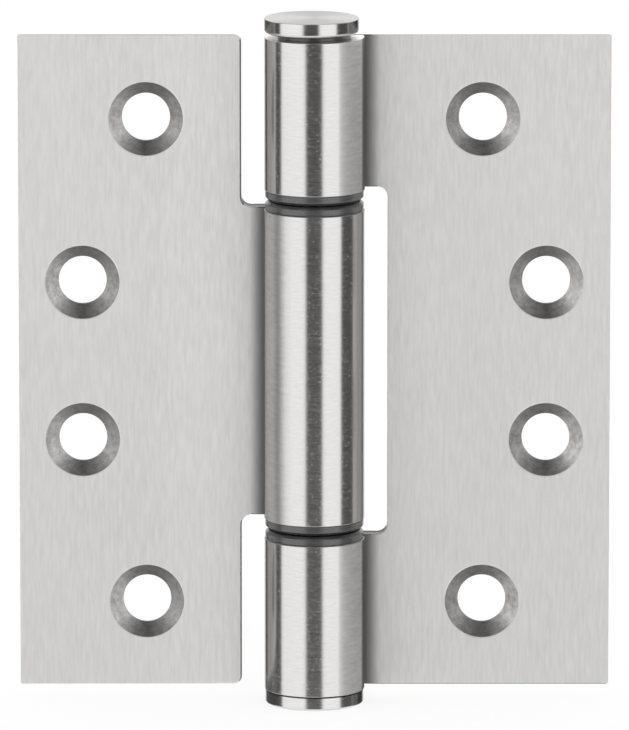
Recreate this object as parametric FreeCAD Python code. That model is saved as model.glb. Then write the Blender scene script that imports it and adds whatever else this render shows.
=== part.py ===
import FreeCAD, Part
import math
import os

# Three-knuckle butt hinge, opened flat, with the countersunk faces towards -Y.
# The origin is on the pin's axis, halfway up the leaves. +Z runs up the pin and
# +X points from the pin to the outer edge of the frame leaf.

# Leaves
leaf_height = 114.0
open_width = 102.0
strip_thickness = 3.4
leaf_setback = 2.5  # from the pin's axis back to the countersunk face

# Rolled knuckles, which close round the bushes on the pin
swage_radius = 10.0  # bend at the leaf's back that offsets it from the barrel
seam_gap = 0.25  # between the rolled end and the strip that it closes on
seam_land = 1.0  # blunt inner end of the rolled strip
outer_knuckle = 26.5  # length of the frame leaf's top and bottom knuckles
knuckle_gap = 3.5
leaf_clearance = 3.95  # from the barrel to the leaf beside it
notch_corner = 1.7
shoulder_corner = 1.3
edge_break = 0.25  # chamfer that takes the burr off a leaf's outline

# Countersunk screw holes
screw_hole = 8.3
countersink_diameter = 13.0
countersink_angle = 82.0
end_screw_margin = 22.0  # from the leaf's outer edge
end_screw_inset = 14.7  # from the leaf's top or bottom edge
inner_screw_margin = 11.0
inner_screw_spacing = 27.6

# Flanged bushes between the pin and the knuckles
bush_wall = 1.0
bush_length = 9.5
bush_running_clearance = 0.05
flange_running_gap = 0.2
flange_inset = 0.15  # of the flange's rim inside the barrel
flange_chamfer = 0.5
bush_lead = 0.3

# Bush under the pin's head
guide_flange_thickness = 0.7
guide_flange_inset = 1.85  # of the flange's rim inside the head
guide_flange_chamfer = 0.15

# Headed pin
pin_diameter = 8.4
head_height = 2.6
head_inset = 0.5  # of the head's rim inside the barrel
head_offset = 0.5  # the head is upset slightly off the shank, towards the door leaf
head_top_round = 0.25
head_under_round = 0.7
pin_end_gap = 1.0
pin_lead = 1.2

# Cap that closes the bottom knuckle
cap_height = 2.5
cap_spigot = 6.0
cap_round = 0.4

# Sizes that follow from those above
half_height = leaf_height / 2
leaf_reach = open_width / 2
leaf_back = leaf_setback + strip_thickness
pin_radius = pin_diameter / 2
pin_bore = pin_radius + bush_running_clearance
bore_radius = pin_bore + bush_wall
barrel_radius = bore_radius + strip_thickness
inner_edge = barrel_radius + leaf_clearance
frame_end = half_height - outer_knuckle
door_end = frame_end - knuckle_gap
flange_thickness = (knuckle_gap - flange_running_gap) / 2
flange_radius = barrel_radius - flange_inset
head_radius = barrel_radius - head_inset
guide_flange_radius = head_radius - guide_flange_inset
head_seat = half_height + guide_flange_thickness
spigot_top = -half_height + cap_spigot
pin_end = spigot_top + pin_end_gap

AXIS = FreeCAD.Vector(0, 0, 0)
UP = FreeCAD.Vector(0, 0, 1)
ACROSS = FreeCAD.Vector(0, 1, 0)
FULL_TURN = 360.0
STRAIGHT_DOWN = 270.0
NEAR = 0.001


def on_circle(centre, radius, degrees):
    turn = math.radians(degrees)
    return centre + FreeCAD.Vector(radius * math.cos(turn), radius * math.sin(turn), 0)


def arc(centre, radius, start, end):
    middle = (start + end) / 2
    points = [on_circle(centre, radius, angle) for angle in (start, middle, end)]
    return Part.Arc(*points).toShape()


def line(start, end):
    return Part.LineSegment(start, end).toShape()


def direction(start, end):
    return math.degrees(math.atan2(end.y - start.y, end.x - start.x)) % FULL_TURN


def bent_strip():
    # The section of a leaf seen from above: flat, swaged back, then rolled round the pin
    # until its end closes on the front of the strip.
    bend_span = barrel_radius + swage_radius
    bend_y = leaf_back + swage_radius
    bend_x = math.sqrt(bend_span**2 - bend_y**2)
    bend = FreeCAD.Vector(bend_x, bend_y, 0)
    roll_start = direction(AXIS, bend)
    bend_start = direction(bend, AXIS)
    front_radius = swage_radius + strip_thickness
    seam_radius = front_radius + seam_gap

    def seam_angle(radius):
        cosine = (radius**2 + bend_span**2 - seam_radius**2) / (2 * radius * bend_span)
        return roll_start - math.degrees(math.acos(cosine))

    land_radius = bore_radius + seam_land
    outer_end = seam_angle(barrel_radius)
    inner_end = seam_angle(land_radius)
    lip = on_circle(AXIS, barrel_radius, outer_end)
    land = on_circle(AXIS, land_radius, inner_end)
    front_corner = FreeCAD.Vector(leaf_reach, leaf_setback, 0)
    back_corner = FreeCAD.Vector(leaf_reach, leaf_back, 0)
    edges = [
        line(front_corner, back_corner),
        line(back_corner, on_circle(bend, swage_radius, STRAIGHT_DOWN)),
        arc(bend, swage_radius, STRAIGHT_DOWN, bend_start),
        arc(AXIS, barrel_radius, roll_start, outer_end + FULL_TURN),
        arc(bend, seam_radius, direction(bend, lip), direction(bend, land)),
        line(land, on_circle(AXIS, bore_radius, inner_end)),
        arc(AXIS, bore_radius, inner_end + FULL_TURN, roll_start),
        arc(bend, front_radius, bend_start, STRAIGHT_DOWN),
        line(on_circle(bend, front_radius, STRAIGHT_DOWN), front_corner),
    ]
    return Part.Face(Part.Wire(edges)), seam_radius


def notch(low, high):
    # Clears the barrel's side of a leaf between two heights.
    room = 2 * barrel_radius
    corner = FreeCAD.Vector(inner_edge - 2 * room, -room, low)
    return Part.makeBox(2 * room, 2 * room, high - low, corner)


def screw_cutter(x, z):
    # A countersink that opens at the front face, with the screw's hole behind it.
    slope = math.tan(math.radians(countersink_angle / 2))
    mouth = countersink_diameter / 2
    throat = screw_hole / 2
    depth = (mouth - throat) / slope
    past_back = strip_thickness + countersink_diameter
    section = Part.makePolygon(
        [
            FreeCAD.Vector(0, 0, 0),
            FreeCAD.Vector(mouth, 0, 0),
            FreeCAD.Vector(throat, depth, 0),
            FreeCAD.Vector(throat, past_back, 0),
            FreeCAD.Vector(0, past_back, 0),
            FreeCAD.Vector(0, 0, 0),
        ]
    )
    cutter = Part.Face(section).revolve(AXIS, ACROSS, FULL_TURN)
    cutter.translate(FreeCAD.Vector(x, leaf_setback, z))
    return cutter


def screw_places():
    end_x = leaf_reach - end_screw_margin
    end_z = half_height - end_screw_inset
    inner_x = leaf_reach - inner_screw_margin
    inner_z = inner_screw_spacing / 2
    return [(end_x, end_z), (inner_x, inner_z), (inner_x, -inner_z), (end_x, -end_z)]


def same(a, b):
    return abs(a - b) < NEAR


def corner_edges(shape, height):
    # Edges through the strip's thickness, at the leaf's inner edge and the given height.
    found = []
    for edge in shape.Edges:
        box = edge.BoundBox
        through = box.XLength < NEAR and box.ZLength < NEAR
        if through and same(box.XMin, inner_edge) and same(abs(box.ZMin), height):
            found.append(edge)
    return found


def outline_edges(shape, heights, seam_radius):
    # The edges round both faces of a blank that are deburred. Those of the seam stay sharp.
    found = []
    for edge in shape.Edges:
        box = edge.BoundBox
        curved = isinstance(edge.Curve, Part.Circle)
        in_seam = same(edge.Curve.Radius, seam_radius) if curved else same(edge.Length, seam_land)
        level = box.ZLength < NEAR and any(same(abs(box.ZMin), height) for height in heights)
        across = level and box.XLength > NEAR and not in_seam
        upright = box.XLength < NEAR and box.YLength < NEAR
        at_side = upright and any(same(box.XMin, side) for side in (leaf_reach, inner_edge))
        at_corner = curved and abs(edge.Curve.Axis.y) > 1 - NEAR
        if across or at_side or at_corner:
            found.append(edge)
    return found


def leaf(notches, notch_height):
    section, seam_radius = bent_strip()
    section.translate(FreeCAD.Vector(0, 0, -half_height))
    blank = section.extrude(FreeCAD.Vector(0, 0, leaf_height))
    for low, high in notches:
        blank = blank.cut(notch(low, high))
    blank = blank.makeFillet(notch_corner, corner_edges(blank, notch_height))
    shoulders = corner_edges(blank, half_height)
    if shoulders:
        blank = blank.makeFillet(shoulder_corner, shoulders)
    outline = outline_edges(blank, (half_height, notch_height), seam_radius)
    blank = blank.makeChamfer(edge_break, outline)
    for x, z in screw_places():
        blank = blank.cut(screw_cutter(x, z))
    return blank


def frame_leaf():
    return leaf([(-frame_end, frame_end)], frame_end)


def door_leaf():
    past = half_height + knuckle_gap
    shape = leaf([(door_end, past), (-past, -door_end)], door_end)
    return shape.mirror(AXIS, FreeCAD.Vector(1, 0, 0))


def turned(points):
    # A solid turned about the pin's axis from (radius, height) points.
    outline = [FreeCAD.Vector(radius, 0, height) for radius, height in points]
    face = Part.Face(Part.makePolygon(outline + outline[:1]))
    return face.revolve(AXIS, UP, FULL_TURN)


def circle_edges(shape, radius, height):
    found = []
    for edge in shape.Edges:
        circle = isinstance(edge.Curve, Part.Circle)
        if circle and same(edge.Curve.Radius, radius) and same(edge.Curve.Center.z, height):
            found.append(edge)
    return found


def bush(seat, side, rim_radius, thickness, chamfer):
    # side is +1 where the flange lies above its seat and -1 where it lies below.
    free_face = seat + side * thickness
    inner_face = seat - side * bush_length
    points = [
        (pin_bore, free_face),
        (rim_radius - chamfer, free_face),
        (rim_radius, free_face - side * chamfer),
        (rim_radius, seat),
        (bore_radius, seat),
        (bore_radius, inner_face + side * bush_lead),
        (bore_radius - bush_lead, inner_face),
        (pin_bore, inner_face),
    ]
    return turned(points)


def knuckle_bush(seat, side):
    return bush(seat, side, flange_radius, flange_thickness, flange_chamfer)


def guide_bush():
    radius = guide_flange_radius
    return bush(half_height, 1, radius, guide_flange_thickness, guide_flange_chamfer)


def hinge_pin():
    inside_head = head_seat + head_height / 2
    shank = turned(
        [
            (0, inside_head),
            (pin_radius, inside_head),
            (pin_radius, pin_end + pin_lead),
            (pin_radius - pin_lead, pin_end),
            (0, pin_end),
        ]
    )
    head_base = FreeCAD.Vector(-head_offset, 0, head_seat)
    head = Part.makeCylinder(head_radius, head_height, head_base)
    head = head.makeFillet(head_under_round, circle_edges(head, head_radius, head_seat))
    top = head_seat + head_height
    head = head.makeFillet(head_top_round, circle_edges(head, head_radius, top))
    return head.fuse(shank).removeSplitter()


def bottom_cap():
    base = -half_height - cap_height
    cap = turned(
        [
            (0, base),
            (barrel_radius, base),
            (barrel_radius, -half_height),
            (bore_radius, -half_height),
            (bore_radius, spigot_top - bush_lead),
            (bore_radius - bush_lead, spigot_top),
            (0, spigot_top),
        ]
    )
    return cap.makeFillet(cap_round, circle_edges(cap, barrel_radius, base))


nodes = {
    "frame_leaf": frame_leaf(),
    "door_leaf": door_leaf(),
    "hinge_pin": hinge_pin(),
    "top_guide_bush": guide_bush(),
    "upper_frame_bush": knuckle_bush(frame_end, -1),
    "upper_door_bush": knuckle_bush(door_end, 1),
    "lower_door_bush": knuckle_bush(-door_end, -1),
    "lower_frame_bush": knuckle_bush(-frame_end, 1),
    "bottom_cap": bottom_cap(),
}

os.makedirs("parts", exist_ok=True)
for name, shape in nodes.items():
    shape.exportStep(f"parts/{name}.step")
    print(name, shape.isValid(), len(shape.Solids), round(shape.Volume, 1))
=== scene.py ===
from math import acos, atan2, ceil, cos, degrees, pi, radians, sin, sqrt, tan

import bpy
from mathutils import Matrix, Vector
from mathutils.geometry import delaunay_2d_cdt


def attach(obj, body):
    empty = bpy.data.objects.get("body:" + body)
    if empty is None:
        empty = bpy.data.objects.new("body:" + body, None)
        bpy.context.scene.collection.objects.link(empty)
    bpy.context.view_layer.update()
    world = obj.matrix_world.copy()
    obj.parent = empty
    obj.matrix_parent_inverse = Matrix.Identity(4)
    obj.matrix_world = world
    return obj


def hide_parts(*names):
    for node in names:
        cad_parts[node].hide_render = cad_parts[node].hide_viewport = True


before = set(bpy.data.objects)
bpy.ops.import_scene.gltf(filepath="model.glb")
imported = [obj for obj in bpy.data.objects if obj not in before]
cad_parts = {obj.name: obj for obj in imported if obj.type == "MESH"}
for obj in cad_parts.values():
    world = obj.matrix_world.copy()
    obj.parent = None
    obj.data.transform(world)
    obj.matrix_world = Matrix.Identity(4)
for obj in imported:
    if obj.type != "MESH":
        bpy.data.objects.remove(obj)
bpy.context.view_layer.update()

mm = 0.001
tiny = 1e-6
print("frame loaded:", ", ".join(sorted(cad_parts)))


# shader helpers

noiseMiddle = (0.35, 0.65)  # most of a noise lies between these
noiseWhole = (0.3, 0.7)
fineDetail = (3.0, 0.6)  # detail and roughness of the noise in fine marks
steelWarmth = 0.02  # share by which red lies over green
steelBlue = 0.8  # part of that by which blue lies under it


def newTree(name):
    mat = bpy.data.materials.new(name)
    mat.use_nodes = True
    mat.node_tree.nodes.clear()
    return mat, mat.node_tree


def fillSocket(tree, socket, value):
    if isinstance(value, bpy.types.NodeSocket):
        tree.links.new(value, socket)
    else:
        socket.default_value = value


def addNode(tree, kind, inputs=None, **settings):
    node = tree.nodes.new("ShaderNode" + kind)
    for key, value in settings.items():
        setattr(node, key, value)
    for key, value in (inputs or {}).items():
        fillSocket(tree, node.inputs[key], value)
    return node


def calc(tree, operation, *values):
    return addNode(tree, "Math", dict(enumerate(values)), operation=operation).outputs[0]


def vectorCalc(tree, operation, *values):
    return addNode(tree, "VectorMath", dict(enumerate(values)), operation=operation).outputs[0]


def split(tree, vector):
    return addNode(tree, "SeparateXYZ", {"Vector": vector}).outputs


def remap(tree, value, low, high, toLow=0.0, toHigh=1.0, **settings):
    limits = {
        "Value": value, "From Min": low, "From Max": high, "To Min": toLow, "To Max": toHigh}
    return addNode(tree, "MapRange", limits, **settings).outputs["Result"]


def blendColor(tree, factor, low, high):
    sockets = {0: factor, 6: low, 7: high}
    return addNode(tree, "Mix", sockets, data_type="RGBA", clamp_factor=False).outputs[2]


def darken(tree, share, tone):
    # paints light and shade: leaves this share of the tone
    return blendColor(tree, share, (0, 0, 0, 1), tone)


def steel(level, warmth=steelWarmth):
    return (level * (1 + warmth), level, level * (1 - warmth * steelBlue), 1)


def mottle(tree, noise, low, high, span=noiseMiddle, warmth=steelWarmth):
    return blendColor(tree, remap(tree, noise, *span), steel(low, warmth), steel(high, warmth))


def grain(tree, coords, perMetre, detail=2.0, roughness=0.5):
    # noise whose marks are as long along each axis as perMetre makes them
    mapped = addNode(tree, "Mapping", {"Vector": coords, "Scale": perMetre}).outputs[0]
    inputs = {"Vector": mapped, "Scale": 1.0, "Detail": detail, "Roughness": roughness}
    return addNode(tree, "TexNoise", inputs).outputs["Fac"]


def relief(tree, height, depth, under=None):
    inputs = {"Height": height, "Strength": 1.0, "Distance": depth}
    if under is not None:
        inputs["Normal"] = under
    return addNode(tree, "Bump", inputs).outputs[0]


def toWorld(tree, vector):
    return addNode(tree, "VectorTransform", {"Vector": vector}, vector_type="VECTOR",
                   convert_from="OBJECT", convert_to="WORLD").outputs[0]


def acrossTurning(tree, coords):
    # the reflections spread across the marks that turning leaves round the pin's axis
    around = vectorCalc(tree, "CROSS_PRODUCT", (0, 0, 1), coords["Object"])
    spread = toWorld(tree, vectorCalc(tree, "CROSS_PRODUCT", coords["Normal"], around))
    return vectorCalc(tree, "NORMALIZE", spread)


def addSurface(tree, sockets):
    shader = addNode(tree, "BsdfPrincipled", sockets)
    addNode(tree, "OutputMaterial", {"Surface": shader.outputs[0]})


# satin faces of the leaves, brushed along the pin

leafFinish = {
    "pale": 0.86,
    "dark": 0.775,
    "foot": 0.94,  # painted shade: share of the tone left at the foot
    "footHeight": 57 * mm,
    "inner": (12 * mm, 28 * mm, 1.08),  # painted light beside the barrel, where the tone is raised
    "crease": (8.5 * mm, 11.6 * mm, 0.25),  # painted shade in the crease, where the plate turns in
    "creaseDepth": 4.4 * mm,  # but not behind this depth
    "roughness": (0.62, 0.68),
    "stretch": 0.8,
    "fineLines": (7000, 7000, 260),
    "wideLines": (1900, 1900, 250),
    "lineShares": (0.35, 0.65),
    "clouds": (60, 60, 25),
    "cloudShare": 0.25,
    "lineDepth": 0.004 * mm,
}


def leafSteel():
    look = leafFinish
    mat, tree = newTree("leafSteel")
    coords = addNode(tree, "TexCoord").outputs
    fine = grain(tree, coords["Object"], look["fineLines"], *fineDetail)
    wide = grain(tree, coords["Object"], look["wideLines"])
    clouds = grain(tree, coords["Object"], look["clouds"])
    fineShare, wideShare = look["lineShares"]
    lines = calc(tree, "ADD", calc(tree, "MULTIPLY", fine, fineShare),
                 calc(tree, "MULTIPLY", wide, wideShare))
    tone = mottle(tree, lines, look["dark"], look["pale"])
    cloudy = remap(tree, clouds, *noiseMiddle, 0.0, look["cloudShare"])
    tone = blendColor(tree, cloudy, tone, steel(look["pale"]))

    place = split(tree, coords["Object"])
    fromPin = calc(tree, "ABSOLUTE", place[0])
    # painted shade in the crease beside the barrel
    near, far, left = look["crease"]
    share = remap(tree, fromPin, near, far, left, 1.0, interpolation_type="SMOOTHSTEP")
    behind = calc(tree, "GREATER_THAN", place[1], look["creaseDepth"])
    share = calc(tree, "MAXIMUM", share, behind)
    # painted shade, darker towards the foot
    towardsFootShade = remap(tree, place[2], -look["footHeight"], look["footHeight"], look["foot"], 1.0)
    share = calc(tree, "MULTIPLY", share, towardsFootShade)
    # painted light beside the barrel
    near, far, left = look["inner"]
    share = calc(tree, "MULTIPLY", share, remap(tree, fromPin, near, far, left, 1.0))

    spread = toWorld(tree, vectorCalc(tree, "CROSS_PRODUCT", (0, 0, 1), coords["Normal"]))
    addSurface(tree, {
        "Base Color": darken(tree, share, tone), "Metallic": 1.0,
        "Roughness": remap(tree, fine, *noiseWhole, *look["roughness"]),
        "Anisotropic": look["stretch"], "Tangent": spread,
        "Normal": relief(tree, fine, look["lineDepth"])})
    return mat


# rolled skin of the knuckles, turned smooth where it is open, coarser beside the seam

barrelFinish = {
    "tone": 0.545,
    "contrast": 0.93,  # the darker marks, as a share of the tone
    "coarseContrast": 0.84,
    "coarseSpan": (0.35, 0.7),
    "open": 0.20,
    "unevenRoughness": (-0.02, 0.03),
    "flankShade": (0.74, 0.87, 0.62),  # painted shade on the open side where it turns away
    "lip": 0.3,  # painted shade: share of the tone left in the crease where the rolled end closes on the leaf
    "lipDepths": (-3 * mm, 3.2 * mm),
    "stretch": 0.65,
    "radius": 8.65 * mm,
    "seamZone": (0.45, 0.62),  # how far across the knuckle it turns coarser
    "marks": (520, 520, 4600),
    "coarseMarks": (330, 330, 1700),
    "coarseDetail": (4.0, 0.65),
    "coarseRelief": 2.0,
    "specks": (1600, 1600, 2300),
    "speckRoughness": (0.5, 0.74, 0.07),  # from and to which noise, and what it adds
    "markDepth": 0.004 * mm,
    "wave": (70, 70, 45),  # slow unevenness of the rolled strip
    "waveDetail": 1.0,
    "waveDepth": 0.06 * mm,
}
seamFinish = {  # side is +1 where the seam lies towards +X and -1 where it lies towards -X
    "frameBarrelSteel": {"side": 1, "roughness": 0.72, "tone": 0.69, "lip": (8.0 * mm, 8.4 * mm)},
    "doorBarrelSteel": {
        "side": -1, "roughness": 0.38, "tone": 0.51, "lip": (8.45 * mm, 8.62 * mm)},
}


def barrelSteel(name):
    look, seam = barrelFinish, seamFinish[name]
    mat, tree = newTree(name)
    coords = addNode(tree, "TexCoord").outputs
    place = split(tree, coords["Object"])
    fine = grain(tree, coords["Object"], look["marks"], *fineDetail)
    coarse = grain(tree, coords["Object"], look["coarseMarks"], *look["coarseDetail"])
    specks = grain(tree, coords["Object"], look["specks"])

    across = calc(tree, "MULTIPLY", place[0], seam["side"] / look["radius"])
    onFront = calc(tree, "LESS_THAN", place[1], 0.0)
    seamShare = calc(tree, "MULTIPLY", remap(tree, across, *look["seamZone"]), onFront)
    tone = mottle(tree, fine, look["tone"] * look["contrast"], look["tone"])
    coarseTone = mottle(tree, coarse, seam["tone"], seam["tone"] * look["coarseContrast"],
                        look["coarseSpan"])
    tone = blendColor(tree, seamShare, tone, coarseTone)
    # painted shade where the open side turns away
    near, far, left = look["flankShade"]
    away = calc(tree, "MULTIPLY", across, -1.0)
    tone = darken(tree, remap(tree, away, near, far, 1.0, left), tone)
    # painted shade along the crease where the rolled end meets the leaf
    front, back = look["lipDepths"]
    lip = remap(tree, calc(tree, "MULTIPLY", place[0], seam["side"]), *seam["lip"])
    lip = calc(tree, "MULTIPLY", lip, calc(tree, "GREATER_THAN", place[1], front))
    lip = calc(tree, "MULTIPLY", lip, calc(tree, "LESS_THAN", place[1], back))
    tone = blendColor(tree, lip, tone, steel(look["tone"] * look["lip"]))

    levels = {0: seamShare, 2: look["open"], 3: seam["roughness"]}
    rough = addNode(tree, "Mix", levels).outputs[0]
    uneven = remap(tree, fine, *noiseWhole, *look["unevenRoughness"])
    rough = calc(tree, "ADD", rough, uneven)
    low, high, added = look["speckRoughness"]
    rough = calc(tree, "ADD", rough, remap(tree, specks, low, high, 0.0, added))

    deeper = calc(tree, "MULTIPLY", seamShare, look["coarseRelief"])
    height = calc(tree, "ADD", fine, calc(tree, "MULTIPLY", coarse, deeper))
    wave = grain(tree, coords["Object"], look["wave"], look["waveDetail"])
    wave = relief(tree, wave, look["waveDepth"])
    addSurface(tree, {
        "Base Color": tone, "Metallic": 1.0, "Roughness": rough,
        "Anisotropic": look["stretch"], "Tangent": acrossTurning(tree, coords),
        "Normal": relief(tree, height, look["markDepth"], wave)})
    return mat


# turned steel of the pin and the cap

pinFinish = {
    "tone": 0.56,
    "contrast": 0.92,
    "upward": (0.5, 0.95),  # ends that face up at least this much
    "end": (1.02, 0.22),  # share of the tone there, a little painted light, and added roughness
    # painted shade where the head and cap turn to either side
    "flankShade": (0.72, 0.8, 0.3),
    "joint": -57.28 * mm,  # above this height the cap darkens, where it meets the knuckle
    "jointShade": {"pinSteel": 1.0, "capSteel": 0.12},
    "roughness": (0.16, 0.24),
    "stretch": 0.6,
    "marks": (160, 160, 6000),
    "rings": (5200, 1, 1),
    "ringRelief": 0.6,
    "markDepth": 0.0025 * mm,
}


def turnedSteel(name):
    look = pinFinish
    mat, tree = newTree(name)
    coords = addNode(tree, "TexCoord").outputs
    place = split(tree, coords["Object"])
    facing = split(tree, coords["Normal"])
    fine = grain(tree, coords["Object"], look["marks"], *fineDetail)
    flat = addNode(tree, "CombineXYZ", {0: place[0], 1: place[1]}).outputs[0]
    reach = addNode(tree, "VectorMath", {0: flat}, operation="LENGTH").outputs["Value"]
    outwards = addNode(tree, "CombineXYZ", {0: reach}).outputs[0]
    rings = calc(tree, "MULTIPLY", grain(tree, outwards, look["rings"]), look["ringRelief"])
    height = calc(tree, "ADD", fine, rings)

    tone = mottle(tree, fine, look["tone"] * look["contrast"], look["tone"])
    # painted light on the ends that face up
    left, added = look["end"]
    share = remap(tree, facing[2], *look["upward"], 1.0, left)
    coarser = remap(tree, facing[2], *look["upward"], 0.0, added)
    # painted shade on the sides that turn away to either side
    near, far, left = look["flankShade"]
    flankShade = remap(tree, calc(tree, "ABSOLUTE", facing[0]), near, far, 1.0, left)
    share = calc(tree, "MULTIPLY", share, flankShade)
    joint = calc(tree, "GREATER_THAN", place[2], look["joint"])
    jointShare = remap(tree, joint, 0.0, 1.0, 1.0, look["jointShade"][name])
    share = calc(tree, "MULTIPLY", share, jointShare)

    rough = calc(tree, "ADD", remap(tree, fine, *noiseWhole, *look["roughness"]), coarser)
    addSurface(tree, {
        "Base Color": darken(tree, share, tone), "Metallic": 1.0, "Roughness": rough,
        "Anisotropic": look["stretch"], "Tangent": acrossTurning(tree, coords),
        "Normal": relief(tree, height, look["markDepth"])})
    return mat


# cut edges of the plate; level is the tone at the front of an edge, and back the one behind a set
# depth

edgeFinish = {
    "contrast": 0.9,
    "roughness": (0.26, 0.38),
    "grain": (900, 5000, 900),
    "grainDetail": 3.0,
    "depth": 0.004 * mm,
    "burr": 4.65 * mm,  # edges take the back tone behind this depth
    "upward": (0.3, 0.8),  # painted shade: faces that look up less than this keep the side share of the tone
}
# the notch's darker tones are partly a rougher sheared face and partly painted shade; the rims
# are matt, with a painted dark line at their back
cutFinish = {
    "cutSteel": {"level": 0.9, "back": 0.86, "side": 0.64, "metallic": 1.0, "gloss": 0.5},
    "notchSteel": {"level": 0.34, "back": 0.3, "side": 1.0, "metallic": 1.0, "gloss": 0.5},
    "notchRimSteel": {"level": 0.64, "back": 0.24, "side": 1.0, "metallic": 0.0, "gloss": 0.0},
}


def cutSteel(name):
    look, cut = edgeFinish, cutFinish[name]
    mat, tree = newTree(name)
    coords = addNode(tree, "TexCoord").outputs
    marks = grain(tree, coords["Object"], look["grain"], look["grainDetail"])
    tone = mottle(tree, marks, cut["level"] * look["contrast"], cut["level"])
    behind = calc(tree, "GREATER_THAN", split(tree, coords["Object"])[1], look["burr"])
    tone = blendColor(tree, behind, tone, steel(cut["back"]))
    # painted shade on edges that don't look up
    lift = split(tree, coords["Normal"])[2]
    tone = darken(tree, remap(tree, lift, *look["upward"], cut["side"], 1.0), tone)
    addSurface(tree, {
        "Base Color": tone, "Metallic": cut["metallic"], "Specular IOR Level": cut["gloss"],
        "Roughness": remap(tree, marks, *noiseWhole, *look["roughness"]),
        "Normal": relief(tree, marks, look["depth"])})
    return mat


# drilled countersinks

countersinkFinish = {
    "tone": (0.385, 0.635),
    "ends": (0.4, 0.74, 0.44),  # painted shade above and below the hole, where the cone mirrors itself
    "sideSpan": (-0.6, 0.6),
    "sideShading": (0.75, 1.2),  # painted shade away from the pin, and painted light facing it
    "roofShade": (-0.38, 0.7),  # painted shade on the upper half, which faces down
    "roughness": (0.42, 0.56),
    "stretch": 0.85,
    "blotches": (950, 950, 950),
    "blotchDetail": (5.0, 0.68),
    "rings": (300, 9000, 300),
    "ringDepth": 0.005 * mm,
}


def countersinkSteel():
    look = countersinkFinish
    mat, tree = newTree("countersinkSteel")
    coords = addNode(tree, "TexCoord").outputs
    place = split(tree, coords["Object"])
    facing = split(tree, coords["Normal"])
    blotches = grain(tree, coords["Object"], look["blotches"], *look["blotchDetail"])
    rings = grain(tree, coords["Object"], look["rings"])

    # painted light and shade by which way the cone faces
    towards = calc(tree, "MULTIPLY", calc(tree, "SIGN", place[0]), -1.0)
    toPin = calc(tree, "MULTIPLY", facing[0], towards)
    near, far, left = look["ends"]
    ends = remap(tree, calc(tree, "ABSOLUTE", facing[2]), near, far, 1.0, left)
    sideShading = remap(tree, toPin, *look["sideSpan"], *look["sideShading"])
    share = calc(tree, "MULTIPLY", sideShading, ends)
    down, left = look["roofShade"]
    share = calc(tree, "MULTIPLY", share, remap(tree, facing[2], down, 0.0, left, 1.0))

    through = {0: coords["Normal"], 3: facing[1]}
    inPlane = addNode(tree, "VectorMath", through, operation="SCALE").outputs[0]
    spread = toWorld(tree, vectorCalc(tree, "SUBTRACT", (0, 1, 0), inPlane))
    addSurface(tree, {
        "Base Color": darken(tree, share, mottle(tree, blotches, *look["tone"])),
        "Metallic": 1.0, "Roughness": remap(tree, blotches, *noiseWhole, *look["roughness"]),
        "Anisotropic": look["stretch"], "Tangent": vectorCalc(tree, "NORMALIZE", spread),
        "Normal": relief(tree, rings, look["ringDepth"])})
    return mat


# dark bushes

bushFinish = {
    "tone": (0.075, 0.11),
    "chamfer": (0.3, 0.6, 0.35),  # painted shade: share of the tone left where a face looks up or down
    "foot": (0.4 * mm, 0.22),  # painted shade where a flange stands on the knuckle below it
    "seats": (-30.5 * mm, 27 * mm),  # heights of those knuckles
    "gloss": 0.8,
    "roughness": (0.2, 0.3),
    "marks": (200, 200, 5200),
    "specks": (2600, 2600, 2600),
    "shares": (0.6, 0.4),
    "markDepth": 0.008 * mm,
}


def bushPolymer():
    look = bushFinish
    mat, tree = newTree("bushPolymer")
    coords = addNode(tree, "TexCoord").outputs
    marks = grain(tree, coords["Object"], look["marks"], *fineDetail)
    specks = grain(tree, coords["Object"], look["specks"])
    markShare, speckShare = look["shares"]
    both = calc(tree, "ADD", calc(tree, "MULTIPLY", marks, markShare),
                calc(tree, "MULTIPLY", specks, speckShare))
    tone = mottle(tree, both, *look["tone"], warmth=0.0)

    # painted shade where a face looks up or down and at each flange's foot
    lift = calc(tree, "ABSOLUTE", split(tree, coords["Normal"])[2])
    height = split(tree, coords["Object"])[2]
    upper = calc(tree, "GREATER_THAN", height, 0.0)
    seat = remap(tree, upper, 0.0, 1.0, *look["seats"])
    reach, left = look["foot"]
    foot = remap(tree, calc(tree, "SUBTRACT", height, seat), 0.0, reach, left, 1.0)
    low, high, left = look["chamfer"]
    share = calc(tree, "MULTIPLY", remap(tree, lift, low, high, 1.0, left), foot)
    addSurface(tree, {
        "Base Color": darken(tree, share, tone),
        "Roughness": remap(tree, marks, *noiseWhole, *look["roughness"]),
        "Specular IOR Level": look["gloss"],
        "Normal": relief(tree, both, look["markDepth"])})
    return mat


leafSkin = leafSteel()
frameBarrel = barrelSteel("frameBarrelSteel")
doorBarrel = barrelSteel("doorBarrelSteel")
pinSteel = turnedSteel("pinSteel")
capSteel = turnedSteel("capSteel")
cutEdge = cutSteel("cutSteel")
notchEdge = cutSteel("notchSteel")
notchRim = cutSteel("notchRimSteel")
countersinkSkin = countersinkSteel()
bushSkin = bushPolymer()
print("finishes ready")


# mesh helpers, sizes in mm

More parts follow.
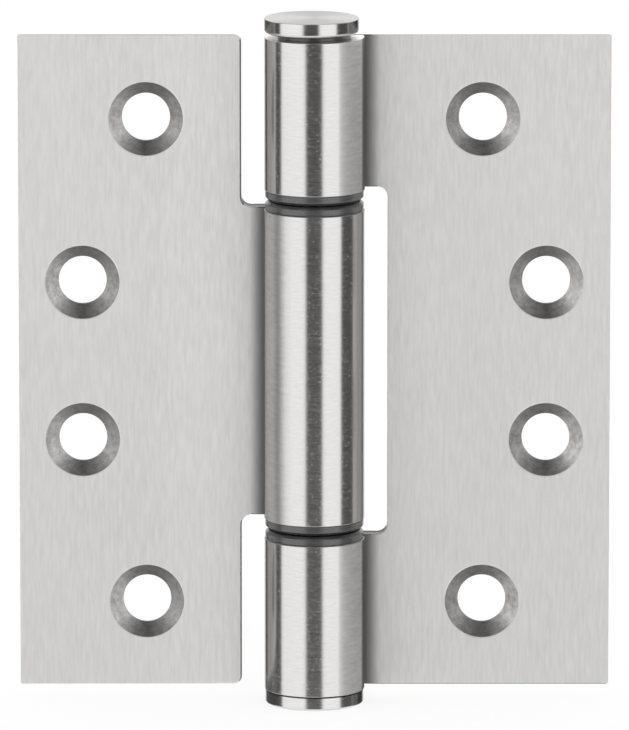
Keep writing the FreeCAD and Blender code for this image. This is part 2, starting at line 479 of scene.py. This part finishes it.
def roundCorners(corners, closed, steps=4):
    # corners are (a, b, radius); gives (a, b, normal a, normal b), normals right of the path
    count = len(corners)
    points = []
    for i, (a, b, radius) in enumerate(corners):
        here = Vector((a, b))
        if not closed and i in (0, count - 1):
            other = corners[1] if i == 0 else corners[count - 2]
            way = (Vector(other[:2]) - here).normalized() * (1 if i == 0 else -1)
            points.append((a, b, way.y, -way.x))
            continue
        before = (here - Vector(corners[i - 1][:2])).normalized()
        after = (Vector(corners[(i + 1) % count][:2]) - here).normalized()
        turn = atan2(before.cross(after), before.dot(after))
        side = 1 if turn > 0 else -1
        start = here - before * (radius * tan(abs(turn) / 2))
        centre = start + Vector((-before.y, before.x)) * (radius * side)
        for k in range(steps + 1):
            angle = turn * k / steps
            way = Vector((before.x * cos(angle) - before.y * sin(angle),
                          before.x * sin(angle) + before.y * cos(angle)))
            out = Vector((way.y, -way.x))
            spot = centre + out * (radius * side)
            points.append((spot.x, spot.y, out.x, out.y))
    return points


def addPiece(name, mesh, slotNames, body, *nodes):
    piece = bpy.data.objects.new(name, mesh)
    bpy.context.scene.collection.objects.link(piece)
    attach(piece, body)
    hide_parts(*nodes)


def smoothMesh(name, points, normals, faces, skins, slotOf):
    mesh = bpy.data.meshes.new(name)
    mesh.from_pydata([Vector(p) * mm for p in points], [], faces)
    for skin in skins:
        mesh.materials.append(skin)
    mesh.polygons.foreach_set("use_smooth", [True] * len(faces))
    mesh.polygons.foreach_set("material_index", slotOf)
    mesh.update()
    mesh.normals_split_custom_set_from_vertices([Vector(n).normalized() for n in normals])
    return mesh


def turnedMesh(name, profile, skin, around=96, shift=None):
    # turns a rounded profile of (radius, height) about the pin; shift moves a ring sideways
    closed = profile[0][0] > 0
    cornerSteps = 5
    rings = roundCorners(profile, closed, cornerSteps)
    points, normals, faces, start = [], [], [], []
    for radius, height, outR, outZ in rings:
        start.append(len(points))
        side = shift(radius, height) if shift else 0.0
        if radius < tiny:
            points.append((side, 0, height))
            normals.append((0, 0, 1 if height > 0 and outZ >= 0 else -1))
            continue
        for k in range(around):
            angle = 2 * pi * k / around
            points.append((side + radius * cos(angle), radius * sin(angle), height))
            normals.append((outR * cos(angle), outR * sin(angle), outZ))
    last = len(rings) if closed else len(rings) - 1
    for i in range(last):
        j = (i + 1) % len(rings)
        for k in range(around):
            n = (k + 1) % around
            if rings[i][0] < tiny:
                faces.append((start[i], start[j] + n, start[j] + k))
            elif rings[j][0] < tiny:
                faces.append((start[i] + k, start[i] + n, start[j]))
            else:
                faces.append((start[i] + k, start[i] + n, start[j] + n, start[j] + k))
    return smoothMesh(name, points, normals, faces, [skin], [0] * len(faces))


# the leaves, cut from one strip, swaged and rolled

leafSize = {
    "height": 114.0,
    "reach": 51.0,
    "thickness": 3.4,
    "setback": 2.5,  # countersunk face behind the pin's axis
    "barrel": 8.65,
    "swage": 10.0,
    "seamGap": 0.25,
    "seamLand": 1.0,
    "outerKnuckle": 26.5,
    "knuckleGap": 3.5,
    "clearance": 3.95,
    "notchCorner": 1.7,
    "shoulderCorner": 1.3,
    "outerCorner": 0.35,
    "edgeRound": {"plate": 0.15, "notch": 0.28, "knuckle": 0.12},
    "edgeSteps": 4,
    "rollStep": 3.0,  # degrees
    "notchReach": {"frame": -1.5, "door": 1.4},  # edges up to here from the inner edge are dark
}
screwHole = {
    "radius": 4.15,
    "mouth": 6.5,
    "angle": 82.0,
    "rimRound": 0.35,
    "throatRound": 0.15,
    "backRound": 0.2,
    "roundSteps": 4,
    "segments": 80,
    "places": ((29.0, 42.3), (40.0, 13.8), (40.0, -13.8), (29.0, -42.3)),
}

bendY = leafSize["setback"] + leafSize["thickness"] + leafSize["swage"]
bendSpan = leafSize["barrel"] + leafSize["swage"]
bendX = sqrt(bendSpan ** 2 - bendY ** 2)
rollStart = atan2(bendY, bendX)
bore = leafSize["barrel"] - leafSize["thickness"]
seamRadius = leafSize["swage"] + leafSize["thickness"] + leafSize["seamGap"]


def seamAngle(radius):
    # where the rolled end stops, one turn on, at this distance from the pin's axis
    radius = max(radius, bore + leafSize["seamLand"])
    cosine = (radius ** 2 + bendSpan ** 2 - seamRadius ** 2) / (2 * radius * bendSpan)
    return rollStart - acos(cosine) + 2 * pi


midSwage = leafSize["swage"] + leafSize["thickness"] / 2
swageTurn = pi / 2 - rollStart
swageLength = midSwage * swageTurn
rollTurn = seamAngle(leafSize["barrel"]) - rollStart
rollLength = (bore + leafSize["thickness"] / 2) * rollTurn
seamEnd = bendX - swageLength - rollLength

halfHeight = leafSize["height"] / 2
innerEdge = leafSize["barrel"] + leafSize["clearance"]
frameEnd = halfHeight - leafSize["outerKnuckle"]
doorEnd = frameEnd - leafSize["knuckleGap"]


def alongStrip(u, depth):
    # the strip's place, its direction away from the pin, and its direction through the plate
    bent = bendX - u
    if bent <= 0:
        return (u, leafSize["setback"] + depth), (1, 0), (0, 1)
    if bent <= swageLength:
        angle = 1.5 * pi - bent / midSwage
        radius = leafSize["swage"] + leafSize["thickness"] - depth
        spot = (bendX + radius * cos(angle), bendY + radius * sin(angle))
        return spot, (-sin(angle), cos(angle)), (-cos(angle), -sin(angle))
    share = (bent - swageLength) / rollLength
    radius = bore + depth
    angle = rollStart + share * (seamAngle(radius) - rollStart)
    spot = (radius * cos(angle), radius * sin(angle))
    return spot, (sin(angle), -cos(angle)), (cos(angle), sin(angle))


def bendStations():
    swageSteps = ceil(degrees(swageTurn) / leafSize["rollStep"])
    rollSteps = ceil(degrees(rollTurn) / leafSize["rollStep"])
    rollFrom = bendX - swageLength
    swage = [bendX - swageLength * k / swageSteps for k in range(swageSteps)]
    roll = [rollFrom - rollLength * k / rollSteps for k in range(rollSteps)]
    return swage + roll


def addStations(loop, stations):
    # splits the loop's level edges where they cross a bend station
    apart = 1e-4
    result = []
    for i, point in enumerate(loop):
        follow = loop[(i + 1) % len(loop)]
        result.append(point)
        if abs(point[1] - follow[1]) > tiny:
            continue
        low, high = sorted((point[0], follow[0]))
        inside = [u for u in stations if low + apart < u < high - apart]
        inside.sort(reverse=follow[0] < point[0])
        result += [(u, point[1], point[2], point[3]) for u in inside]
    return result


def insideLoop(spot, loop):
    inside = False
    for (a, b), (c, d) in zip(loop, loop[1:] + loop[:1]):
        if (b > spot[1]) != (d > spot[1]) and spot[0] < (c - a) * (spot[1] - b) / (d - b) + a:
            inside = not inside
    return inside


def fillFlat(outline, holes):
    # triangles between an outline and its holes, as indices into outline + holes
    loops = [outline] + holes
    spots = [spot for loop in loops for spot in loop]
    edges, first = [], 0
    for loop in loops:
        edges += [(first + i, first + (i + 1) % len(loop)) for i in range(len(loop))]
        first += len(loop)
    mergeWithin = 1e-7
    found = delaunay_2d_cdt([Vector(s) for s in spots], edges, [], 0, mergeWithin)
    triangles = []
    for face in found[2]:
        corners = [found[3][v][0] for v in face]
        centre = sum((Vector(spots[c]) for c in corners), Vector((0, 0))) / 3
        if insideLoop(centre, outline) and not any(insideLoop(centre, h) for h in holes):
            a, b, c = (Vector(spots[k]) for k in corners)
            leftHand = (b - a).cross(c - a) > 0
            triangles.append(tuple(corners) if leftHand else tuple(reversed(corners)))
    return triangles


def edgeStations():
    # angles round the plate's edge and whether they lie at its back, from front to back
    steps = leafSize["edgeSteps"]
    front = [pi / 2 * k / steps for k in range(steps + 1)]
    return [(turn, False) for turn in front] + [(pi - turn, True) for turn in front[::-1]]


def holeLoops():
    # rings of a screw hole from its mouth to its back
    slope = tan(radians(screwHole["angle"] / 2))
    throat = (screwHole["mouth"] - screwHole["radius"]) / slope
    far = screwHole["mouth"] + 3  # only gives the path its direction at both ends
    path = [
        (far, leafSize["thickness"], 0),
        (screwHole["radius"], leafSize["thickness"], screwHole["backRound"]),
        (screwHole["radius"], throat, screwHole["throatRound"]),
        (screwHole["mouth"], 0, screwHole["rimRound"]),
        (far, 0, 0),
    ]
    return roundCorners(path, False, screwHole["roundSteps"])[1:-1][::-1]


leafSkins = ("leaf", "barrel", "cut", "countersink", "notch", "rim")


def addPoint(draft, u, z, depth, outU, outZ, through):
    spot, away, inward = alongStrip(u, depth)
    draft["points"].append((spot[0], spot[1], z))
    draft["normals"].append((outU * away[0] + through * inward[0],
                             outU * away[1] + through * inward[1], outZ))


def addFace(draft, face, skin):
    draft["faces"].append(face)
    draft["slots"].append(leafSkins.index(skin))


def edgeSkin(kind, isRim, isSide, zone):
    # zone is front, cut or back, counted from the countersunk face
    if zone == "cut":
        return "rim" if isRim else "notch" if isSide else "cut"
    if isSide or (isRim and zone == "back"):
        return "notch"
    return "barrel" if kind == "knuckle" else "leaf"


def addEdge(draft, loop, kinds):
    # the rounded edge all round the strip; rims are knuckle ends that look up, and sides the
    # upright edges of a notch
    count = len(loop)
    upward, upright, overEdge, overEnd = 0.3, 0.5, 0.2, 0.1
    isRim = [outZ > upward and u < innerEdge + overEdge and abs(z) < frameEnd + overEnd
             for u, z, outU, outZ in loop]
    isSide = [kind == "notch" and abs(point[3]) < upright for kind, point in zip(kinds, loop)]
    stations = edgeStations()
    for turn, atBack in stations:
        for (u, z, outU, outZ), kind in zip(loop, kinds):
            size = leafSize["edgeRound"][kind]
            inset = size * (1 - sin(turn))
            depth = size * (1 - abs(cos(turn)))
            if atBack:
                depth = leafSize["thickness"] - depth
            addPoint(draft, u - outU * inset, z - outZ * inset, depth,
                     outU * sin(turn), outZ * sin(turn), -cos(turn))
    cut = leafSize["edgeSteps"]
    for j in range(len(stations) - 1):
        zone = "front" if j < cut else "cut" if j == cut else "back"
        for i in range(count):
            n = (i + 1) % count
            face = (j * count + i, (j + 1) * count + i, (j + 1) * count + n, j * count + n)
            addFace(draft, face, edgeSkin(kinds[i], isRim[i], isSide[i], zone))
    return (len(stations) - 1) * count


def addRolls(draft, loop, backStart):
    # rolled and swaged stretches, one face from end to end of a knuckle
    count = len(loop)
    rollFrom = bendX - swageLength
    skinFrom = bendX - swageLength * 0.5  # at the back the turned skin starts halfway
    for first in range(count):
        if loop[first][0] <= bendX - tiny or loop[(first + 1) % count][0] >= bendX - tiny:
            continue
        run = [first]
        while True:
            run.append((run[-1] + 1) % count)
            if loop[run[-1]][0] > bendX - tiny:
                break
        for k in range(len(run) // 2 - 1):
            a, b, c, d = run[k], run[k + 1], run[-2 - k], run[-1 - k]
            addFace(draft, (a, b, c, d), "barrel" if loop[b][0] < rollFrom else "leaf")
            behind = (backStart + d, backStart + c, backStart + b, backStart + a)
            addFace(draft, behind, "barrel" if loop[b][0] < skinFrom else "leaf")


def addHoles(draft, rings):
    # the countersunk screw holes; gives where the points of each begin
    around = screwHole["segments"]
    steps = screwHole["roundSteps"]
    starts = []
    for x, z in screwHole["places"]:
        starts.append(len(draft["points"]))
        for reach, depth, outR, through in rings:
            for k in range(around):
                angle = 2 * pi * k / around
                addPoint(draft, x + reach * cos(angle), z + reach * sin(angle), depth,
                         outR * cos(angle), outR * sin(angle), through)
        for j in range(len(rings) - 1):
            # the rounded mouth, the cone, the rounded throat, then the bore to the back
            skin = "leaf" if j < steps else "notch" if steps < j <= 2 * steps else "countersink"
            row = starts[-1] + j * around
            for k in range(around):
                n = (k + 1) % around
                addFace(draft, (row + k, row + n, row + around + n, row + around + k), skin)
    return starts


def addBroadFace(draft, loop, kinds, edgeStart, holeStarts, reach, isBack):
    around = screwHole["segments"]
    flat = [i for i in range(len(loop)) if loop[i][0] > bendX - tiny]
    index = [edgeStart + i for i in flat]
    outline = []
    for i in flat:
        u, z, outU, outZ = loop[i]
        size = leafSize["edgeRound"][kinds[i]]
        outline.append((u - outU * size, z - outZ * size))
    circles = []
    for start, (x, z) in zip(holeStarts, screwHole["places"]):
        angles = [2 * pi * k / around for k in range(around)]
        circles.append([(x + reach * cos(angle), z + reach * sin(angle)) for angle in angles])
        index += [start + k for k in range(around)]
    for triangle in fillFlat(outline, circles):
        corner = [index[k] for k in triangle]
        addFace(draft, tuple(corner[::-1] if isBack else corner), "leaf")


def leafMesh(name, corners, barrelSkin, notchReach, mirrored):
    loop = addStations(roundCorners(corners, True), bendStations())
    knuckleTo = bendX + 0.5  # the knuckle's finer edge runs on a little into the plate
    notchTo = innerEdge + notchReach
    kinds = ["knuckle" if u < knuckleTo else "notch" if u < notchTo else "plate"
             for u, *_ in loop]
    draft = {"points": [], "normals": [], "faces": [], "slots": []}
    backStart = addEdge(draft, loop, kinds)
    addRolls(draft, loop, backStart)
    rings = holeLoops()
    mouths = addHoles(draft, rings)
    backs = [start + (len(rings) - 1) * screwHole["segments"] for start in mouths]
    addBroadFace(draft, loop, kinds, 0, mouths, rings[0][0], False)
    addBroadFace(draft, loop, kinds, backStart, backs, rings[-1][0], True)

    points, normals, faces = draft["points"], draft["normals"], draft["faces"]
    if mirrored:
        points = [(-x, y, z) for x, y, z in points]
        normals = [(-x, y, z) for x, y, z in normals]
        faces = [face[::-1] for face in faces]
    skins = [leafSkin, barrelSkin, cutEdge, countersinkSkin, notchEdge, notchRim]
    return smoothMesh(name, points, normals, faces, skins, draft["slots"])


outerCorner = leafSize["outerCorner"]
notchCorner = leafSize["notchCorner"]
shoulderCorner = leafSize["shoulderCorner"]
plateEnd = [
    (leafSize["reach"], -halfHeight, outerCorner),
    (leafSize["reach"], halfHeight, outerCorner),
]
frameOutline = plateEnd + [
    (seamEnd, halfHeight, outerCorner),
    (seamEnd, frameEnd, outerCorner),
    (innerEdge, frameEnd, notchCorner),
    (innerEdge, -frameEnd, notchCorner),
    (seamEnd, -frameEnd, outerCorner),
    (seamEnd, -halfHeight, outerCorner),
]
doorOutline = plateEnd + [
    (innerEdge, halfHeight, shoulderCorner),
    (innerEdge, doorEnd, notchCorner),
    (seamEnd, doorEnd, outerCorner),
    (seamEnd, -doorEnd, outerCorner),
    (innerEdge, -doorEnd, notchCorner),
    (innerEdge, -halfHeight, shoulderCorner),
]
frameLeafMesh = leafMesh("frameLeaf", frameOutline, frameBarrel,
                         leafSize["notchReach"]["frame"], False)
doorLeafMesh = leafMesh("doorLeaf", doorOutline, doorBarrel,
                        leafSize["notchReach"]["door"], True)
addPiece("frameLeaf", frameLeafMesh, "brushed_leaf", "frame_leaf", "frame_leaf")
addPiece("doorLeaf", doorLeafMesh, "brushed_leaf", "door_leaf", "door_leaf")
print("leaves ready")


# headed pin

pinSize = {
    "radius": 4.2,
    "end": -50.0,
    "lead": 1.2,
    "headSeat": 57.7,
    "headHeight": 2.6,
    "headRadius": 8.15,
    "headShift": -0.5,
    "underRound": 0.7,
    "topRound": 0.2,
    "leadRounds": (0.3, 0.5),
    "seatRound": 0.05,
    "segments": 128,
}


def headShift(radius, height):
    clear = pinSize["radius"] + 0.3  # outside the shank and the round where it meets the head
    overShank = height > pinSize["headSeat"] + tiny or radius > clear
    return pinSize["headShift"] if overShank else 0.0


headTop = pinSize["headSeat"] + pinSize["headHeight"]
pinProfile = [
    (0, pinSize["end"], 0),
    (pinSize["radius"] - pinSize["lead"], pinSize["end"], pinSize["leadRounds"][0]),
    (pinSize["radius"], pinSize["end"] + pinSize["lead"], pinSize["leadRounds"][1]),
    (pinSize["radius"], pinSize["headSeat"], pinSize["seatRound"]),
    (pinSize["headRadius"], pinSize["headSeat"], pinSize["underRound"]),
    (pinSize["headRadius"], headTop, pinSize["topRound"]),
    (0, headTop, 0),
]
pinMesh = turnedMesh("hingePin", pinProfile, pinSteel, pinSize["segments"], headShift)
addPiece("hingePin", pinMesh, "turned_steel", "frame_leaf", "hinge_pin")
print("pin ready")


# flanged bushes in the knuckles, and the one under the pin's head

bushSize = {
    "bore": 4.25,
    "outer": bore,
    "length": 9.5,
    "rim": 8.5,
    "flange": 1.65,
    "chamfer": 0.5,
    "rimRound": 0.2,
    "lead": 0.3,
    "leadRounds": (0.05, 0.1),
    "boreRounds": (0.08, 0.1),  # inside the knuckle, and at the flange
    "seatRound": 0.05,
    "chamferRound": 0.12,
    "segments": 112,
    "guideRim": 6.3,
    "guideFlange": 0.7,
    "guideChamfer": 0.12,
    "guideRound": 0.05,
}


def bushProfile(seat, side, rim, flange, chamfer, rimRound):
    free = seat + side * flange
    inner = seat - side * bushSize["length"]
    leadIn, leadOut = bushSize["leadRounds"]
    boreInner, boreFree = bushSize["boreRounds"]
    path = [
        (bushSize["bore"], inner, boreInner),
        (bushSize["outer"] - bushSize["lead"], inner, leadIn),
        (bushSize["outer"], inner + side * bushSize["lead"], leadOut),
        (bushSize["outer"], seat, bushSize["seatRound"]),
        (rim, seat, rimRound),
        (rim, free - side * chamfer, rimRound),
        (rim - chamfer, free, min(bushSize["chamferRound"], chamfer / 2)),
        (bushSize["bore"], free, boreFree),
    ]
    return path if side > 0 else path[::-1]


bushPlaces = (
    ("upperFrameBush", "upper_frame_bush", "frame_leaf", frameEnd, -1),
    ("upperDoorBush", "upper_door_bush", "door_leaf", doorEnd, 1),
    ("lowerDoorBush", "lower_door_bush", "door_leaf", -doorEnd, -1),
    ("lowerFrameBush", "lower_frame_bush", "frame_leaf", -frameEnd, 1),
)
for name, node, body, seat, side in bushPlaces:
    profile = bushProfile(seat, side, bushSize["rim"], bushSize["flange"],
                          bushSize["chamfer"], bushSize["rimRound"])
    bushMesh = turnedMesh(name, profile, bushSkin, bushSize["segments"])
    addPiece(name, bushMesh, "bush", body, node)

guideProfile = bushProfile(halfHeight, 1, bushSize["guideRim"], bushSize["guideFlange"],
                           bushSize["guideChamfer"], bushSize["guideRound"])
addPiece("topGuideBush", turnedMesh("topGuideBush", guideProfile, bushSkin),
         "bush", "frame_leaf", "top_guide_bush")
print("bushes ready")


# cap in the bottom knuckle

capSize = {
    "radius": 8.5,
    "height": 2.5,
    "spigot": 6.0,
    "lead": 0.3,
    "topRound": 0.25,
    "lowerRound": 0.45,
    "seatRound": 0.05,
    "leadRound": 0.1,
    "segments": 128,
}
capBase = -halfHeight - capSize["height"]
spigotTop = -halfHeight + capSize["spigot"]
capProfile = [
    (0, capBase, 0),
    (capSize["radius"], capBase, capSize["lowerRound"]),
    (capSize["radius"], -halfHeight, capSize["topRound"]),
    (bore, -halfHeight, capSize["seatRound"]),
    (bore, spigotTop - capSize["lead"], capSize["leadRound"]),
    (bore - capSize["lead"], spigotTop, capSize["leadRound"]),
    (0, spigotTop, 0),
]
capMesh = turnedMesh("bottomCap", capProfile, capSteel, capSize["segments"])
addPiece("bottomCap", capMesh, "turned_steel", "frame_leaf", "bottom_cap")
print("cap ready")


# studio: light panels either side of the front and white behind, seen by the metal

studio = {
    "around": (  # azimuth in degrees from the front, and the light at and below the horizon
        (-180, 1.15), (-158, 1.15), (-154, 0.12), (-150, 0.12), (-146, 0.25), (-104, 0.25),
        (-100, 0.06), (-84, 0.06), (-80, 1.45), (-23, 1.52), (-17, 0.06), (15.5, 0.06),
        (21, 1.52), (62, 1.49), (66, 0.06), (97, 0.06), (101, 0.52), (121, 0.52),
        (126, 0.1), (152, 0.1), (157, 1.15), (180, 1.15),
    ),
    "above": (
        (-180, 1.12), (-106, 1.12), (-98, 0.4), (-84, 0.17), (-80, 1.45), (-23, 1.52),
        (-17, 0.17), (15.5, 0.17), (21, 1.52), (62, 1.49), (66, 0.17), (98, 0.4),
        (106, 1.12), (180, 1.12),
    ),
    "fall": (  # upward direction, share of the light there
        (-1, 1), (-0.5, 1), (-0.2, 1), (0.25, 1.12), (0.42, 1.12), (0.8, 0.68), (1, 0.68),
    ),
    "horizon": (-0.02, 0.06),
    "table": (-0.27, -0.5, 1.3),  # the white table below, seen from this direction down
    "ambient": 0.75,
}


def grey(level):
    return (level, level, level, 1)


def levelRamp(tree, factor, stops, span):
    # stops are (value, level), the values counted from the middle of the span
    node = addNode(tree, "ValToRGB", {"Fac": factor})
    elements = node.color_ramp.elements
    while len(elements) < len(stops):
        elements.new(0.5)
    for element, (value, level) in zip(elements, stops):
        element.position = value / span + 0.5
        element.color = grey(level)
    return node.outputs["Color"]


def studioWorld():
    world = bpy.data.worlds.new("studio")
    bpy.context.scene.world = world
    world.use_nodes = True
    tree = world.node_tree
    tree.nodes.clear()
    way = split(tree, addNode(tree, "TexCoord").outputs["Generated"])
    azimuth = calc(tree, "ARCTAN2", way[0], calc(tree, "MULTIPLY", way[1], -1.0))
    turn = remap(tree, azimuth, -pi, pi)
    rise = remap(tree, way[2], *studio["horizon"])
    seen = blendColor(tree, rise, levelRamp(tree, turn, studio["around"], 360),
                      levelRamp(tree, turn, studio["above"], 360))
    fall = levelRamp(tree, remap(tree, way[2], -1.0, 1.0), studio["fall"], 2)
    seen = vectorCalc(tree, "MULTIPLY", seen, fall)
    near, far, level = studio["table"]
    seen = blendColor(tree, remap(tree, way[2], near, far), seen, grey(level))
    ray = addNode(tree, "LightPath").outputs
    light = blendColor(tree, ray["Is Glossy Ray"], grey(studio["ambient"]), seen)
    white = calc(tree, "MAXIMUM", ray["Is Camera Ray"], ray["Is Transmission Ray"])
    color = blendColor(tree, white, light, grey(1))
    background = addNode(tree, "Background", {"Color": color, "Strength": 1.0})
    addNode(tree, "OutputWorld", {"Surface": background.outputs[0]})


studioWorld()

floorSize = {"level": -59.55, "half": 4000, "paint": 0.8, "glow": 1.18, "evenness": 0.7}


def whiteFloor():
    # paint that carries the shadow, evened out by a glow that only the camera sees
    mat, tree = newTree("floorPaint")
    paint = addNode(tree, "BsdfDiffuse", {"Color": grey(floorSize["paint"])})
    ray = addNode(tree, "LightPath").outputs["Is Camera Ray"]
    glow = addNode(tree, "Emission", {"Strength": floorSize["glow"]})
    share = calc(tree, "MULTIPLY", ray, floorSize["evenness"])
    both = addNode(tree, "MixShader", {0: share, 1: paint.outputs[0], 2: glow.outputs[0]})
    addNode(tree, "OutputMaterial", {"Surface": both.outputs[0]})
    half = floorSize["half"] * mm
    level = floorSize["level"] * mm
    corners = [(-half, -half, level), (half, -half, level),
               (half, half, level), (-half, half, level)]
    mesh = bpy.data.meshes.new("floor")
    mesh.from_pydata(corners, [], [(0, 1, 2, 3)])
    mesh.materials.append(mat)
    floor = bpy.data.objects.new("floor", mesh)
    bpy.context.scene.collection.objects.link(floor)
    floor.visible_glossy = False  # the metal shows the studio's panels down to its foot


whiteFloor()

camera = {
    "elevation": 10.45,
    "distance": 1700 * mm,
    "focalPixels": 9862,
    "aim": (0.01 * mm, 0, -0.22 * mm),
    "frameHeight": 730,
    "clipEnd": 100,
}


def photoCamera():
    data = bpy.data.cameras.new("camera")
    data.lens = camera["focalPixels"] * data.sensor_width / camera["frameHeight"]
    data.clip_end = camera["clipEnd"]
    cam = bpy.data.objects.new("camera", data)
    bpy.context.scene.collection.objects.link(cam)
    tilt = radians(camera["elevation"])
    back = Vector((0, -cos(tilt), sin(tilt)))
    cam.location = Vector(camera["aim"]) + back * camera["distance"]
    cam.rotation_mode = "QUATERNION"
    cam.rotation_quaternion = (-back).to_track_quat("-Z", "Y")
    bpy.context.scene.camera = cam


photoCamera()
bpy.context.scene.view_settings.view_transform = "Standard"
print("studio ready")
